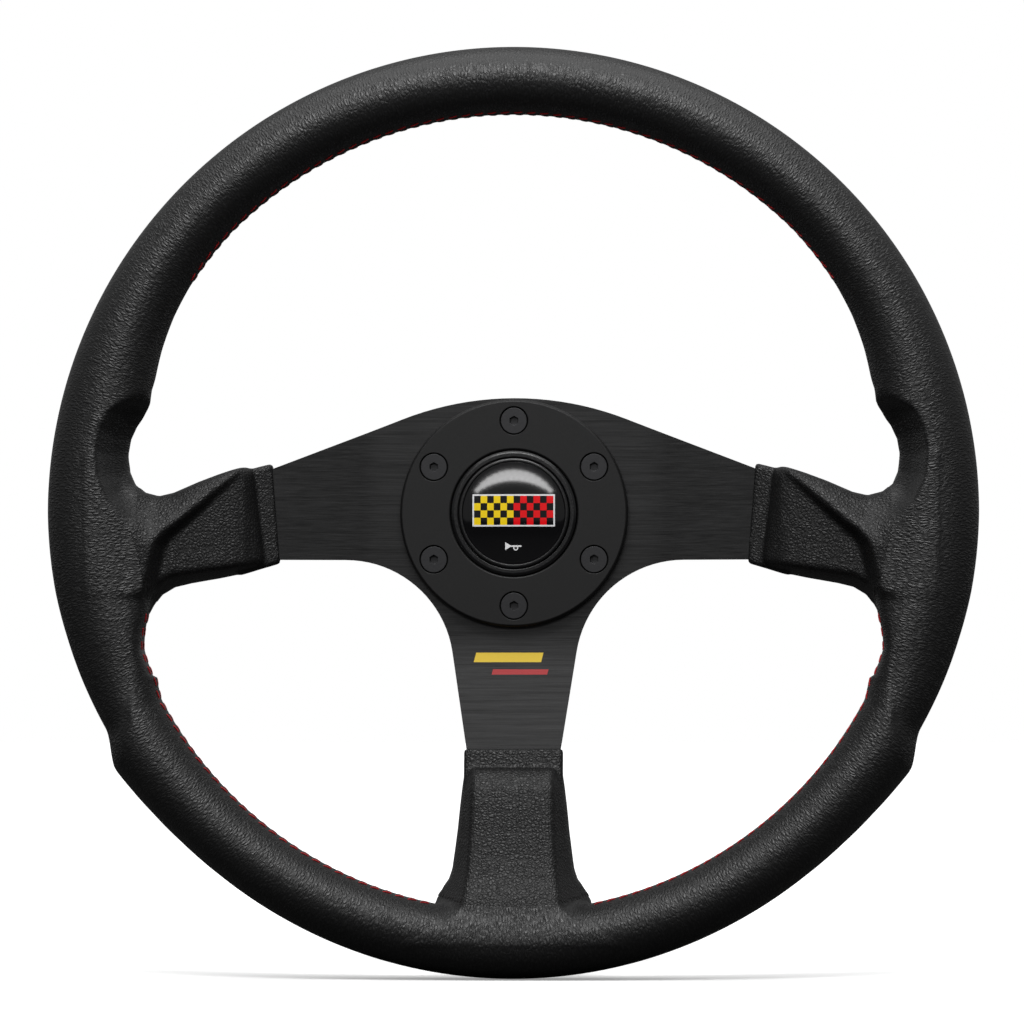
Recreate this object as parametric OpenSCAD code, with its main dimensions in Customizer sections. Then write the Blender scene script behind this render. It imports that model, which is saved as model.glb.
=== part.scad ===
// Quick release steering wheel, millimetres.
// The row frame has +Z at twelve o'clock and the driver on the -Y side. Every piece is drawn in the
// wheel's own plane (x right, y up, z towards the driver) and stood up by upright().
// z = 0 is the mouth of the quick release socket, where the steering column's hub seats.

/* [Rim] */
// Outer diameter of the leather rim
rim_d = 350; // [340:5:360]
// Width of the grip, measured along the radius
grip_w = 25.4; // [24:0.2:27]
// Depth of the grip from its front to its back
grip_t = 31; // [29:0.5:33]
// Distance from the hub's mounting face to the front of the rim
dish = 39; // [36:1:42]
// Thickness of the leather
leather_t = 1.3; // [1:0.1:1.6]
// Radius of the steel hoop's rod inside the rim
hoop_r = 4; // [4:0.5:6]

/* [Spider] */
// Thickness of the aluminium spoke plate
plate_t = 4; // [3:0.5:4]
// Radius of the plate's rounded top edge
crown_r = 117; // [112:1:120]
// Height of the plate's top edge above the axis
crown_y = 43.7; // [43.4:0.1:44]
// Radius of the fillets between the side arms and the bottom arm
armpit_r = 41; // [40:0.5:42]

/* [Hub ring] */
// Outer radius of the trim ring
ring_r = 43.1; // [42.5:0.1:43.3]
// Radius of the trim ring's bore
ring_bore_r = 24; // [24:0.1:24.2]
// Thickness of the trim ring
ring_t = 4.5; // [4:0.5:5]
// Diameter of the bolt circle
bolt_pcd = 70; // [69.5:0.5:70.5]
// Number of hub screws
bolt_n = 6; // [6]

/* [Horn button] */
// Travel of the horn cap
cap_travel = 1.3; // [1:0.1:1.3]
// Radius of the cap where it shows inside the bezel
cap_r = 20.9; // [20.6:0.1:21]

/* [Quick release] */
// Radius of the pilot bore that the column's hub slides into
socket_r = 21.5; // [21.4:0.1:21.6]
// Depth of the pilot bore
socket_depth = 9.5; // [9:0.5:9.5]
// Outer radius of the barrel that the collar slides on
barrel_r = 27.2; // [27.1:0.1:27.3]
// Travel of the release collar
collar_travel = 7; // [6:0.5:7]
// Number of locking balls
ball_n = 6; // [6]
// Radius of a locking ball
ball_r = 4; // [4]

/* [Hidden] */
$fn = 96;

// Stations along the axis
flange_back = 36;                       // back of the quick release flange
hub_back = 44;                          // mounting face of the spoke plate
hub_front = hub_back + plate_t;
ring_front = hub_front + ring_t;
plate_mid = hub_back + plate_t / 2;

// Rim section
grip_a = grip_w / 2;
grip_b = grip_t / 2;
rim_r = rim_d / 2 - grip_a;             // radius of the circle through the section's centre
rim_z = hub_back + dish - grip_b;       // plane of the rim

// The arms leave the hub flat, bend over a short length and run straight to the hoop
bend_start = 44;
bend_len = 14;
arm_end = rim_r - hoop_r + 0.8;
arm_slope = (rim_z - plate_mid) / (arm_end - bend_start - bend_len / 2);

// Socket, ball race and collar
race_r = socket_r - 0.5;
race_z = 15;
ball_seat_r = 23.2;                     // radius of the balls' centres when they are locked
ball_lift = 1.9;                        // how far the balls back out as the collar opens
web_back = 28;
web_front = 31;
collar_back = 2.6;
collar_front = 28.5;
collar_r = 32.5;
collar_lip_r = 35.5;
pocket_back = 17;                       // floor of the collar's spring pocket
running = 0.07;                         // running clearance of the collar on the barrel
cam_slope = ball_lift / collar_travel;

// Horn button
housing_r = ring_bore_r - 0.3;
housing_back = 40;
bezel_back = 50.6;
plate_back = 48;                        // underside of the moving contact plate
contact_gap = cap_travel + 0.1;
terminal_x = 14;

// ---------- helpers ----------

module upright() rotate([90, 0, 0]) children();

module disc(r, from, to) translate([0, 0, from]) cylinder(r = r, h = to - from);

module cone(r1, r2, from, to) translate([0, 0, from]) cylinder(r1 = r1, r2 = r2, h = to - from);

module tube(r_out, r_in, from, to) difference() {
    disc(r_out, from, to);
    disc(r_in, from - 1, to + 1);
}

module bolt_circle() for (k = [0 : bolt_n - 1]) rotate(90 + k * 360 / bolt_n)
    translate([bolt_pcd / 2, 0, 0]) children();

function oval(a, b) = [for (k = [0 : 27]) [rim_r + a * cos(k * 360 / 28), rim_z + b * sin(k * 360 / 28)]];

module rim_ring(inset) rotate_extrude($fn = 120) polygon(oval(grip_a - inset, grip_b - inset));

function arc(cx, cy, r, from, to, n) = [for (k = [0 : n]) let (t = from + (to - from) * k / n)
    [cx + r * cos(t), cy + r * sin(t)]];

function mirrored(points) = [for (k = [len(points) - 1 : -1 : 0]) [-points[k][0], points[k][1]]];

// Height of the arms' mid-plane at a distance u from the axis
function arm_z(u) = let (t = u - bend_start)
    t <= 0 ? plate_mid :
    t < bend_len ? plate_mid + arm_slope * t * t / (2 * bend_len) :
    plate_mid + arm_slope * (t - bend_len / 2);

// A round wire or lead swept along points, with the section held square to the path
function unit(v) = v / norm(v);
function tangent(p, k) = unit(p[min(k + 1, len(p) - 1)] - p[max(k - 1, 0)]);
module swept(p, r, sides, up = [0.02, 0.03, 1]) {
    rings = [for (k = [0 : len(p) - 1]) let (t = tangent(p, k), u = unit(cross(t, up)), v = cross(u, t))
        for (s = [0 : sides - 1]) p[k] + r * (cos(s * 360 / sides) * u + sin(s * 360 / sides) * v)];
    sidewalls = [for (k = [0 : len(p) - 2]) for (s = [0 : sides - 1])
        let (a = k * sides + s, b = k * sides + (s + 1) % sides)
        each [[a, a + sides, b + sides], [a, b + sides, b]]];
    first = [for (s = [0 : sides - 1]) s];
    last = [for (s = [sides - 1 : -1 : 0]) (len(p) - 1) * sides + s];
    polyhedron(rings, concat(sidewalls, [first, last]));
}

// A coil spring: the end turns lie flat, the middle turns climb evenly
function spring_rise(t, turns) = let (dead = 0.75)
    t < dead ? 0 : t > turns - dead ? 1 : (t - dead) / (turns - 2 * dead);
function spring_path(r, wire, from, to, turns, per_turn) = [for (k = [0 : turns * per_turn])
    let (t = k / per_turn, flat = wire * 0.68, ends = 0.75 * flat + wire * 0.51)
    [r * cos(360 * t), r * sin(360 * t), from + wire * 0.51 + flat * (min(t, 0.75) + max(0, t - turns + 0.75)) +
     (to - from - 2 * ends) * spring_rise(t, turns)]];

// ---------- wheel frame ----------

arm_low_y = -17.6;                      // straight lower edge of the side arms
arm_top_slope = 0.39;
crown_half_angle = atan(arm_top_slope);
armpit_x = 64;
armpit_y = arm_low_y - armpit_r;
bottom_taper = 0.157;
bottom_half_w = 23.2;                   // half width of the bottom arm, 55 mm below the axis

module arm_outline() {
    crown = arc(0, crown_y - crown_r, crown_r, 90 - crown_half_angle, 90, 10);
    tip = crown[0];
    top_end = [arm_end, tip[1] - arm_top_slope * (arm_end - tip[0])];
    armpit_to = 180 - atan(bottom_taper);
    pit = arc(armpit_x, armpit_y, armpit_r, 90, armpit_to, 20);
    foot = [bottom_half_w - bottom_taper * (arm_end - 55), -arm_end];
    right = concat([foot], [for (k = [20 : -1 : 0]) pit[k]], [[arm_end, arm_low_y], top_end], crown);
    polygon(concat(right, mirrored(right)));
}

// Side view of the plate, bent forward to both sides of the hub or to one side only
function bent(side) = [for (u = side) [u, arm_z(abs(u)) + plate_t / 2]];
stations = concat([bend_start], [for (k = [1 : 6]) bend_start + bend_len * k / 6], [arm_end]);
function plate_profile(left, right) = let (line = concat([for (k = [7 : -1 : 0]) -stations[k] * left],
    [for (k = [0 : 7]) max(stations[k] * right, stations[0])]))
    concat([for (u = line) [u, arm_z(abs(u)) - plate_t / 2]],
           [for (k = [15 : -1 : 0]) [line[k], arm_z(abs(line[k])) + plate_t / 2]]);

module spoke_plate() {
    reach = arm_end + 1;
    intersection() {
        linear_extrude(rim_z + 10) arm_outline();
        union() {
            intersection() {
                translate([0, reach, 0]) rotate([90, 0, 0]) linear_extrude(2 * reach)
                    polygon(plate_profile(1, 1));
                translate([-reach, -bend_start, 0]) cube([2 * reach, 2 * reach, rim_z + 10]);
            }
            translate([-bend_start, 0, 0]) rotate([90, 0, 90]) linear_extrude(2 * bend_start)
                polygon(bottom_profile());
        }
    }
}

// The bottom arm's side view: y runs down the arm, flat over the hub
function bottom_profile() = let (line = concat([for (k = [7 : -1 : 0]) -stations[k]], [bend_start]))
    concat([for (u = line) [u, (u > 0 ? plate_mid : arm_z(-u)) - plate_t / 2]],
           [for (k = [8 : -1 : 0]) [line[k], (line[k] > 0 ? plate_mid : arm_z(-line[k])) + plate_t / 2]]);

module hoop_ring(r) rotate_extrude($fn = 120) translate([rim_r, rim_z]) circle(r = r, $fn = 32);

module spider() color("#26262a") upright() difference() {
    spoke_plate();
    hoop_ring(hoop_r);
    disc(ring_bore_r + 1, 0, 60);
    bolt_circle() disc(2.7, 0, 60);
}

module rim_hoop() color("#8c8f94") upright() hoop_ring(hoop_r);

// ---------- foam and leather ----------

// Front outline of a side pad, for the right-hand arm
side_pad_points = [
    [97, 17.2], [103, 16.3], [114, 12.7], [125, 8.2], [132, 6.4], [138, 6.9], [142.5, 10], [147, 18],
    [156, 22], [156, -46], [144, -48], [139.5, -40], [135, -33.5], [129, -29.4], [118, -27], [99, -23.4], [95, -21]
];
side_band_points = [[91, 18.9], [99, 16.2], [97, -20.4], [88.5, -18.9]];
bottom_pad_half = [[18, -97], [18.9, -101], [20.8, -120], [22.6, -134.5], [24.4, -138.5], [29, -142.3],
    [36, -145], [36, -156]];

// Side view of the pads: distance from the axis against depth
pad_depth = [[94, 61.5], [98, 63], [103, 68.5], [112, 72.5], [134, 78], [157, 79],
    [157, 56], [134, 53.5], [112, 50.5], [103, 50], [98, 52.5], [94, 53]];

// Moves each point of a closed outline inwards by d, square to the chord through its neighbours
function shrunk(p, d, turn) = [for (k = [0 : len(p) - 1])
    let (a = p[(k + len(p) - 1) % len(p)], b = p[(k + 1) % len(p)], c = unit(b - a))
    p[k] + d * turn * [c[1], -c[0]]];

module side_pad(inset) intersection() {
    linear_extrude(100) polygon(shrunk(side_pad_points, inset, 1));
    rotate([90, 0, 0]) translate([0, 0, -60]) linear_extrude(120) polygon(shrunk(pad_depth, inset, 1));
}

module bottom_pad(inset) intersection() {
    linear_extrude(100) polygon(shrunk(concat(bottom_pad_half, mirrored(bottom_pad_half)), inset, 1));
    rotate([90, 0, -90]) translate([0, 0, -60]) linear_extrude(120) polygon(shrunk(pad_depth, inset, 1));
}

// The thin leather band where a cover is glued down on the bare plate
module side_band() intersection() {
    linear_extrude(100) polygon(side_band_points);
    band_slab(60);
}
module bottom_band() intersection() {
    translate([-19.4, -99, 0]) cube([38.8, 9.3, 100]);
    rotate(-90) band_slab(60);
}
module band_slab(half) rotate([90, 0, 0]) translate([0, 0, -half]) linear_extrude(2 * half)
    polygon([for (u = [86, 102]) [u, arm_z(u) - plate_t / 2 - leather_t],
             for (u = [102, 86]) [u, arm_z(u) + plate_t / 2 + leather_t]]);

module foam_pads() {
    side_pad(leather_t);
    mirror([1, 0, 0]) side_pad(leather_t);
    bottom_pad(leather_t);
}

module rim_foam() color("#3a3a3a") upright() difference() {
    union() {
        rim_ring(leather_t);
        foam_pads();
    }
    hoop_ring(hoop_r);
    spoke_plate();
}

module rim_leather() color("#1d1d1f") upright() difference() {
    rim_ring(0);
    rim_ring(leather_t);
    foam_pads();
}

module side_cover() difference() {
    union() {
        side_pad(0);
        side_band();
    }
    side_pad(leather_t);
    spoke_plate();
    rim_ring(0);
}

module right_spoke_cover() color("#202022") upright() side_cover();
module left_spoke_cover() color("#202022") upright() mirror([1, 0, 0]) side_cover();
module bottom_spoke_cover() color("#202022") upright() difference() {
    union() {
        bottom_pad(0);
        bottom_band();
    }
    bottom_pad(leather_t);
    spoke_plate();
    rim_ring(0);
}

// Running stitches along the inside of the rim
stitch_len = 3.6;
stitch_pitch = 4.9;
module stitches(from, to) {
    seam_r = rim_r - grip_a - 0.5;
    n = floor((to - from) * PI / 180 * seam_r / stitch_pitch);
    for (k = [0 : n]) rotate(from + (to - from) * k / n) translate([seam_r, -stitch_len / 2, rim_z + 2])
        rotate([-90, 0, 0]) cylinder(r = 0.42, h = stitch_len, $fn = 16);
}
module top_stitching() color("#b01818") upright() stitches(33, 147);
module left_stitching() color("#b01818") upright() stitches(201, 254);
module right_stitching() color("#b01818") upright() stitches(286, 339);

// ---------- hub ring and screws ----------

screw_head_r = 4.95;
screw_seat = ring_front - 0.3;          // top of the screw heads, a little below the ring's face
head_rim = 0.7;
head_cone = 2.4;

module trim_ring() color("#2a2a2c") upright() difference() {
    union() {
        disc(ring_r, hub_front, ring_front - 0.8);
        cone(ring_r, ring_r - 0.8, ring_front - 0.8, ring_front);
    }
    disc(ring_bore_r, hub_front - 1, ring_front + 1);
    cone(ring_bore_r, ring_bore_r + 1.5, ring_front - 0.5, ring_front + 1);
    bolt_circle() {
        disc(2.7, hub_front - 1, ring_front + 1);
        disc(screw_head_r + 0.4, screw_seat - head_rim, ring_front + 1);
        cone(2.7, screw_head_r + 0.4, screw_seat - head_rim - head_cone, screw_seat - head_rim);
    }
}

module hub_screws() color("#3c3c3e") upright() bolt_circle() difference() {
    union() {
        disc(screw_head_r, screw_seat - head_rim, screw_seat);
        cone(2.45, screw_head_r, screw_seat - head_rim - head_cone, screw_seat - head_rim);
        disc(2.45, flange_back + 0.6, screw_seat - head_rim - head_cone);
    }
    translate([0, 0, screw_seat - 2.5]) cylinder(r = 3 / cos(30) / 2, h = 4, $fn = 6);
}

// ---------- horn button ----------

// The trim ring clamps the housing down by the flange round it
module button_housing() color("#171718") upright() difference() {
    union() {
        disc(housing_r, housing_back, bezel_back);
        disc(ring_bore_r + 0.8, hub_back + 0.1, hub_front - 0.1);
    }
    difference() {
        disc(housing_r - 1, housing_back + 3, bezel_back + 1);
        disc(5.5, housing_back + 3, housing_back + 5);
    }
    for (s = [-1, 1]) translate([s * terminal_x, 0, 0]) disc(1.55, housing_back - 1, housing_back + 4);
}

module button_bezel() color("#141415") upright() difference() {
    union() {
        disc(housing_r, bezel_back, ring_front);
        cone(housing_r, housing_r - 0.9, ring_front, ring_front + 0.6);
    }
    disc(cap_r + 0.4, bezel_back - 1, ring_front + 2);
}

cap_back = plate_back + 0.6;
badge_back = 52.3;
badge_r = 19.35;
module horn_cap() color("#131314") upright() difference() {
    union() {
        disc(housing_r - 1.3, cap_back, bezel_back - 0.15);
        disc(cap_r, cap_back, ring_front + 0.5);
        cone(cap_r, cap_r - 0.5, ring_front + 0.5, ring_front + 0.9);
    }
    disc(badge_r + 0.1, badge_back, ring_front + 2);
    disc(17, cap_back - 1, 51);
}

// A shallow resin dome
dome_rise = 1.4;
module cap_badge() color("#0c0c0d") upright() intersection() {
    disc(badge_r, badge_back, badge_back + 4);
    dome_sphere_r = (badge_r * badge_r + dome_rise * dome_rise) / (2 * dome_rise);
    translate([0, 0, badge_back + 0.7 + dome_rise - dome_sphere_r]) sphere(r = dome_sphere_r, $fn = 200);
}

module contact_plate() color("#c79a4b") upright() tube(21, 9, plate_back, cap_back);

module contact_spring() color("#b9bcc0") upright()
    swept(spring_path(6.5, 0.9, housing_back + 3.03, 50.97, 4.5, 18), 0.45, 8);

// A contact post on the housing floor with a flat blade behind it
module terminal() {
    disc(2.2, housing_back + 3, plate_back - contact_gap);
    disc(1.5, housing_back, housing_back + 3);
    translate([-0.4, -3.15, 34]) cube([0.8, 6.3, housing_back - 34]);
}
module signal_terminal() color("#c79a4b") upright() translate([terminal_x, 0, 0]) terminal();
module earth_terminal() color("#c79a4b") upright() translate([-terminal_x, 0, 0]) terminal();

// The insulated push-on connector on each blade
module connector() difference() {
    translate([-2, -4, 32.4]) cube([4, 8, 6.6]);
    translate([-0.45, -3.2, 33.9]) cube([0.9, 6.4, 8]);
}
module signal_connector() color("#8f1414") upright() translate([terminal_x, 0, 0]) connector();
module earth_connector() color("#202020") upright() translate([-terminal_x, 0, 0]) connector();

// Each lead leaves its connector sideways and curls down onto the contact block
lead_r = 0.8;
lead_route = [
    [12, 0, 35.5], [11, 0, 35.5], [10, 0.7, 35.7], [9, 1.9, 36.2], [8, 3.3, 36.7], [6.8, 4.2, 37],
    [5.6, 4.3, 37.1], [4.6, 3.6, 37], [4.1, 2.4, 36.5], [4, 1.2, 35.8], [4, 0.4, 35], [4, 0, 34], [4, 0, 33]
];
module lead() swept(lead_route, lead_r, 8, [0.6, 1, 0.4]);
module signal_lead() color("#a01616") upright() lead();
module earth_lead() color("#1a1a1a") upright() rotate(180) lead();

// ---------- quick release ----------

module ball_directions() for (k = [0 : ball_n - 1]) rotate(30 + k * 360 / ball_n) children();

module qr_body() color("#222326") upright() difference() {
    union() {
        disc(barrel_r, 0, flange_back + 1);
        cone(41, 42, flange_back, flange_back + 1);
        disc(42, flange_back + 1, hub_back);
    }
    disc(socket_r, -1, socket_depth);
    disc(race_r, socket_depth - 1, web_back);
    disc(9.1, web_back - 1, web_front + 1);
    for (s = [-1, 1]) translate([0, 12.8 * s, 0]) disc(1.25, web_back - 1, web_front + 1);
    disc(21.5, web_front, housing_back + 1);
    disc(ring_bore_r + 0.1, housing_back, hub_back + 1);
    tube(barrel_r + 2, barrel_r - 1.3, 0.9, 2.4);
    bolt_circle() disc(2.5, flange_back - 1, hub_back + 1);
    // scallops between the screws lighten the flange
    rotate(30) bolt_circle() translate([15, 0, 0]) disc(10, flange_back - 1, hub_back + 1);
    // ball holes, with a lip inside that stops the balls falling in
    ball_directions() translate([0, 0, race_z]) rotate([0, 90, 0]) {
        translate([0, 0, race_r + 0.5]) cylinder(r = ball_r + 0.05, h = 12);
        translate([0, 0, race_r - 4]) cylinder(r = ball_r - 0.25, h = 6);
    }
}

insert_back = 19.5;
key_n = 12;
module spline_insert() color("#9a9da2") upright() difference() {
    disc(race_r - 0.02, insert_back, web_back);
    disc(16.5, insert_back - 1, web_back + 1);
    for (k = [0 : key_n - 1]) rotate(k * 360 / key_n)
        translate([0, -2.1, insert_back - 1]) cube([18.4, 4.2, web_back - insert_back + 2]);
}

module release_collar() color("#a7aab0") upright() difference() {
    union() {
        cone(collar_lip_r - 1, collar_lip_r, collar_back, collar_back + 1);
        disc(collar_lip_r, collar_back + 1, collar_back + 5.5);
        cone(collar_lip_r, collar_r, collar_back + 5.5, collar_back + 7.5);
        disc(collar_r, collar_back + 6, collar_front - 0.8);
        cone(collar_r, collar_r - 0.8, collar_front - 0.8, collar_front);
    }
    disc(barrel_r + running, collar_back - 1, collar_front + 1);
    disc(30.1, 4, 5);
    cone(30.1, barrel_r + running, 5, 5 + (30.1 - barrel_r - running) / cam_slope);
    disc(30.3, pocket_back, collar_front + 1);
    // finger scallops round the pull lip
    for (k = [0 : 23]) rotate(k * 15) translate([collar_lip_r + 1.3, 0, 0])
        disc(2.4, collar_back - 1, collar_back + 5.5);
}

module collar_spring() color("#b9bcc0") upright()
    swept(spring_path(28.85, 1.5, pocket_back + 0.03, flange_back - 0.03, 5.5, 24), 0.75, 8);

// External snap ring with its gap and plier eyes at the bottom
module retaining_ring() color("#6f7276") upright() difference() {
    union() {
        tube(29.3, 26, 1, 2.3);
        for (s = [-1, 1]) rotate(-90 + 7 * s) translate([29.2, 0, 0]) disc(2.2, 1, 2.3);
    }
    disc(26, 0, 3);
    translate([-1.6, -40, 0]) cube([3.2, 20, 4]);
    for (s = [-1, 1]) rotate(-90 + 7 * s) translate([29.6, 0, 0]) disc(0.9, 0, 4);
}

module lock_ball(k) color("#c9ccd0") upright() rotate(30 + (k - 1) * 360 / ball_n)
    translate([ball_seat_r, 0, race_z]) sphere(r = ball_r);

// The insulating block that carries the horn's two sliding contacts
block_front = 33;
pin_front = 25.5;
pin_bore_end = 31;
module contact_block() color("#161617") upright() difference() {
    union() {
        disc(9, 21, web_front + 1);
        disc(9.8, web_front, block_front);
        translate([-4.5, -15.6, web_front]) cube([9, 31.2, block_front - web_front]);
    }
    for (s = [-1, 1]) {
        translate([4 * s, 0, 0]) disc(1.45, 20, pin_bore_end);
        translate([0, 12.8 * s, 0]) disc(1.4, web_front - 1, block_front + 1);
    }
}

module block_screws() color("#6f7276") upright() for (s = [-1, 1]) translate([0, 12.8 * s, 0]) difference() {
    union() {
        disc(1.2, web_back + 0.3, block_front);
        disc(2.3, block_front, block_front + 1.5);
    }
    translate([0, 0, block_front + 0.6]) cylinder(r = 1.5 / cos(30) / 2, h = 2, $fn = 6);
}

module contact_pins() color("#d1a552") upright() for (s = [-1, 1]) translate([4 * s, 0, 0]) {
    disc(1.4, 19, pin_front);
    cone(0.8, 1.4, 18.2, 19);
}

module pin_springs() color("#b9bcc0") upright() for (s = [-1, 1]) translate([4 * s, 0, 0])
    swept(spring_path(1.05, 0.28, pin_front + 0.02, pin_bore_end - 0.02, 7, 12), 0.14, 6);

spider();
rim_hoop();
rim_foam();
rim_leather();
left_spoke_cover();
right_spoke_cover();
bottom_spoke_cover();
top_stitching();
left_stitching();
right_stitching();
trim_ring();
hub_screws();
button_housing();
button_bezel();
horn_cap();
cap_badge();
contact_plate();
contact_spring();
signal_terminal();
earth_terminal();
signal_connector();
earth_connector();
signal_lead();
earth_lead();
qr_body();
spline_insert();
release_collar();
collar_spring();
retaining_ring();
lock_ball(1);  // lock_ball_1
lock_ball(2);  // lock_ball_2
lock_ball(3);  // lock_ball_3
lock_ball(4);  // lock_ball_4
lock_ball(5);  // lock_ball_5
lock_ball(6);  // lock_ball_6
contact_block();
block_screws();
contact_pins();
pin_springs();
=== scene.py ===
import bpy
import math
import numpy as np
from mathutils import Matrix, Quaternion, Vector


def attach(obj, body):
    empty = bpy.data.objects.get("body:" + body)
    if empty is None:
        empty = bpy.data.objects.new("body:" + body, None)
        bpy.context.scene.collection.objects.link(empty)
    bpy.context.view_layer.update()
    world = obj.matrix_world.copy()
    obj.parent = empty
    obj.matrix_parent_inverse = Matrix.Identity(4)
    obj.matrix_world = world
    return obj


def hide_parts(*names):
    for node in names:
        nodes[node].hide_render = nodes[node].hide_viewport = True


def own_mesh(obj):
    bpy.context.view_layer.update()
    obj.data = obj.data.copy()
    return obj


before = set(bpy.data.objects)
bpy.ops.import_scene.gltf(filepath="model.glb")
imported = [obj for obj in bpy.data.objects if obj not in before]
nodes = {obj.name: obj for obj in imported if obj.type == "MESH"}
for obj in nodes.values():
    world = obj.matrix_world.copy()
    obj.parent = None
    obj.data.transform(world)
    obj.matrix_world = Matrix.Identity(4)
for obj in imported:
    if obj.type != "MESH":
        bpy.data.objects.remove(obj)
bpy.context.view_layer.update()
print("frame loaded:", len(nodes), "pieces")

mm = 0.001
# Shapes are worked out in the wheel's own plane in millimetres: x right, y up, z towards the driver.
# The scene has x right, y away from the driver and z up.


def toScene(p):
    return np.stack([p[:, 0], -p[:, 2], p[:, 1]], 1) * mm


def deselect():
    if bpy.context.object and bpy.context.object.mode != "OBJECT":
        bpy.ops.object.mode_set(mode="OBJECT")
    bpy.ops.object.select_all(action="DESELECT")


def only(piece):
    deselect()
    piece.select_set(True)
    bpy.context.view_layer.objects.active = piece
    return piece


def applyMods(piece):
    only(piece)
    for mod in list(piece.modifiers):
        bpy.ops.object.modifier_apply(modifier=mod.name)


def meshPiece(name, points, faces):
    mesh = bpy.data.meshes.new(name)
    mesh.from_pydata(points, [], faces)
    piece = bpy.data.objects.new(name, mesh)
    bpy.context.scene.collection.objects.link(piece)
    return only(piece)


def copyOf(node, name, flatWithin=0):
    # a CAD node's own shape, with its loose triangles merged and, for machined pieces, its flats joined
    piece = nodes[node].copy()
    piece.data = nodes[node].data.copy()
    piece.name = name
    for key in list(piece.keys()):
        if key.startswith("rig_"):
            del piece[key]
    piece.parent = None
    bpy.context.scene.collection.objects.link(piece)
    only(piece)
    bpy.ops.object.mode_set(mode="EDIT")
    bpy.ops.mesh.select_all(action="SELECT")
    bpy.ops.mesh.remove_doubles(threshold=0.000002)
    if flatWithin:
        bpy.ops.mesh.dissolve_limited(angle_limit=math.radians(flatWithin))
    bpy.ops.object.mode_set(mode="OBJECT")
    return piece


def paint(piece, mat):
    piece.data.materials.clear()
    piece.data.materials.append(mat)


def dress(piece, mat, body="wheel", replaced=()):
    paint(piece, mat)
    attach(piece, body)
    if replaced:
        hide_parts(*replaced)


def smoothstep(a, b, v):
    t = np.clip((v - a) / (b - a), 0, 1)
    return t * t * (3 - 2 * t)


def smoothMax(a, b, k):
    h = np.clip(k - np.abs(a - b), 0, None) / k
    return np.maximum(a, b) + h * h * k / 4


def smoothMin(a, b, k):
    return -smoothMax(-a, -b, k)


def newMaterial(name, colour, rough, metal=0.0, spec=0.5, coat=0.0, coatRough=0.05):
    mat = bpy.data.materials.new(name)
    mat.use_nodes = True
    shader = mat.node_tree.nodes["Principled BSDF"]
    shader.inputs["Base Color"].default_value = (*colour, 1)
    shader.inputs["Roughness"].default_value = rough
    shader.inputs["Metallic"].default_value = metal
    shader.inputs["Specular IOR Level"].default_value = spec
    shader.inputs["Coat Weight"].default_value = coat
    shader.inputs["Coat Roughness"].default_value = coatRough
    return mat


class Shading:  # short hand for wiring one material's nodes
    def __init__(self, mat):
        self.tree = mat.node_tree
        self.shader = self.tree.nodes["Principled BSDF"]
        self.objectCoords = self.node("ShaderNodeTexCoord").outputs["Object"]

    def node(self, kind, **settings):
        made = self.tree.nodes.new(kind)
        for name, value in settings.items():
            setattr(made, name, value)
        return made

    def feed(self, socket, value):
        if isinstance(value, bpy.types.NodeSocket):
            self.tree.links.new(value, socket)
        else:
            socket.default_value = value

    def math(self, operation, a, b=0.0):
        made = self.node("ShaderNodeMath", operation=operation)
        self.feed(made.inputs[0], a)
        self.feed(made.inputs[1], b)
        return made.outputs[0]

    def vector(self, operation, a, b=(0, 0, 0), scale=1.0):
        made = self.node("ShaderNodeVectorMath", operation=operation)
        self.feed(made.inputs[0], a)
        if operation == "SCALE":
            made.inputs["Scale"].default_value = scale
        else:
            self.feed(made.inputs[1], b)
        return made.outputs["Value" if operation in ("LENGTH", "DOT_PRODUCT", "DISTANCE") else 0]

    def noise(self, vector, scale, detail=2.0, rough=0.5):
        made = self.node("ShaderNodeTexNoise")
        self.feed(made.inputs["Vector"], vector)
        made.inputs["Scale"].default_value = scale
        made.inputs["Detail"].default_value = detail
        made.inputs["Roughness"].default_value = rough
        return made.outputs["Fac"]

    def cells(self, vector, scale, feature="F1"):
        made = self.node("ShaderNodeTexVoronoi", feature=feature)
        self.feed(made.inputs["Vector"], vector)
        made.inputs["Scale"].default_value = scale
        return made.outputs["Distance"]

    def spread(self, value, fromLow, fromHigh, toLow, toHigh):
        made = self.node("ShaderNodeMapRange")
        for socket, number in zip(made.inputs, (value, fromLow, fromHigh, toLow, toHigh)):
            self.feed(socket, number)
        return made.outputs[0]

    def mix(self, amount, a, b):
        made = self.node("ShaderNodeMix", data_type="RGBA")
        self.feed(made.inputs["Factor"], amount)
        self.feed(made.inputs["A"], a)
        self.feed(made.inputs["B"], b)
        return made.outputs["Result"]

    def bump(self, height, depth):
        made = self.node("ShaderNodeBump")
        made.inputs["Strength"].default_value = 1.0
        made.inputs["Distance"].default_value = depth
        self.feed(made.inputs["Height"], height)
        self.tree.links.new(made.outputs[0], self.shader.inputs["Normal"])

    def axes(self, vector):
        made = self.node("ShaderNodeSeparateXYZ")
        self.feed(made.inputs[0], vector)
        return made.outputs


leatherLook = {
    # the second colour here is painted shade, laid in the grain's valleys
    "colour": (0.0110, 0.0110, 0.0113), "shadedValley": (0.0035, 0.0035, 0.0037), "rough": 0.40,
    "ringRadius": 0.1623,                    # middle of the grip, in metres
    "wobbleScale": 420, "wobble": 0.0011,    # keeps the grain from lying in rows
    # cells per metre, height of the grain in metres, stretch round the section, sheen
    "rim": {"cell": 940, "depth": 0.000145, "stretch": 0.6, "spec": 0.5},
    "pad": {"cell": 800, "depth": 0.00015, "stretch": 0.0, "spec": 0.36},
}


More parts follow.
